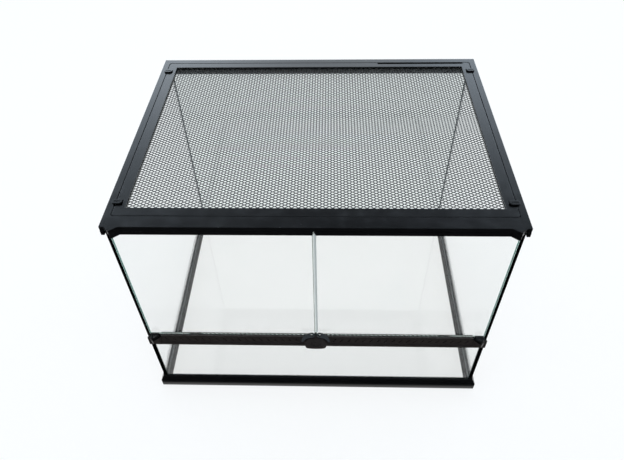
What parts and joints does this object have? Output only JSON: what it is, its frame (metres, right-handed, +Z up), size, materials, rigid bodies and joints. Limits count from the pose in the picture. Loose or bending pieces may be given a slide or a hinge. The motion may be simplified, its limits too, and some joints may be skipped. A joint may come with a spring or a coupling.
{
  "type": "hamster cage",
  "caption": "Glass tank cage with two hinged front doors over a slotted vent strip, black moulded frames and a lift-off mesh lid held by quarter-turn locks.",
  "frame": {"origin": "middle of the whole object's box, on the surface it stands on", "axes": "+Z up, -Y towards the doors, +X to the right seen from the front"},
  "size_m": [0.614, 0.478, 0.4529],
  "materials": {
    "black_plastic": "satin moulded",
    "brown_black_plastic": "satin moulded",
    "clear_glass": "clear float glass with green edges",
    "silicone": "clear silicone",
    "seal_plastic": "translucent",
    "pin_steel": "bright drawn",
    "coated_mesh": "dark grey coated"
  },
  "bodies": {
    "tank": {"bottom_frame": "black_plastic", "top_frame": "black_plastic", "floor_glass": "clear_glass", "left_side_glass": "clear_glass", "right_side_glass": "clear_glass", "rear_glass": "clear_glass", "lower_front_glass": "clear_glass", "rear_left_bead": "silicone", "rear_right_bead": "silicone", "front_left_bead": "silicone", "front_right_bead": "silicone", "floor_bead": "silicone", "vent_strip": "brown_black_plastic", "door_catch": "brown_black_plastic"},
    "left_door": {"left_door_glass": "clear_glass", "left_top_rail": "black_plastic", "left_upper_pin": "pin_steel", "left_lower_bracket": "black_plastic", "left_lower_pin": "pin_steel", "left_door_pull": "black_plastic"},
    "right_door": {"right_door_glass": "clear_glass", "right_top_rail": "black_plastic", "right_upper_pin": "pin_steel", "right_lower_bracket": "black_plastic", "right_lower_pin": "pin_steel", "right_door_pull": "black_plastic", "door_seal": "seal_plastic"},
    "lid": {"lid_frame": "black_plastic", "lid_mesh": "coated_mesh", "mesh_retainer": "black_plastic"},
    "front_left_lock": {"front_left_lock": "black_plastic"},
    "front_right_lock": {"front_right_lock": "black_plastic"},
    "rear_left_lock": {"rear_left_lock": "black_plastic"},
    "rear_right_lock": {"rear_right_lock": "black_plastic"},
    "left_closer": {"left_cable_closer": "black_plastic"},
    "right_closer": {"right_cable_closer": "black_plastic"}
  },
  "joints": [
    {"name": "left_door_hinge", "type": "hinge", "parent": "tank", "child": "left_door", "pos_m": [-0.289, -0.2285, 0.3], "axis": [0, 0, -1], "range_deg": [0, 110]},
    {"name": "right_door_hinge", "type": "hinge", "parent": "tank", "child": "right_door", "pos_m": [0.289, -0.2285, 0.3], "axis": [0, 0, 1], "range_deg": [0, 110]},
    {"name": "lid_lift", "type": "slide", "parent": "tank", "child": "lid", "axis": [0, 0, 1], "range_m": [0, 0.15]},
    {"name": "front_left_lock_turn", "type": "hinge", "parent": "tank", "child": "front_left_lock", "pos_m": [-0.291, -0.1775, 0.452], "axis": [0, 0, 1], "range_deg": [0, 90]},
    {"name": "front_right_lock_turn", "type": "hinge", "parent": "tank", "child": "front_right_lock", "pos_m": [0.291, -0.1775, 0.452], "axis": [0, 0, 1], "range_deg": [0, 90]},
    {"name": "rear_left_lock_turn", "type": "hinge", "parent": "tank", "child": "rear_left_lock", "pos_m": [-0.291, 0.1925, 0.452], "axis": [0, 0, 1], "range_deg": [0, 90]},
    {"name": "rear_right_lock_turn", "type": "hinge", "parent": "tank", "child": "rear_right_lock", "pos_m": [0.291, 0.1925, 0.452], "axis": [0, 0, 1], "range_deg": [0, 90]},
    {"name": "left_closer_slide", "type": "slide", "parent": "tank", "child": "left_closer", "axis": [-1, 0, 0], "range_m": [0, 0.033]},
    {"name": "right_closer_slide", "type": "slide", "parent": "tank", "child": "right_closer", "axis": [1, 0, 0], "range_m": [0, 0.033]}
  ]
}
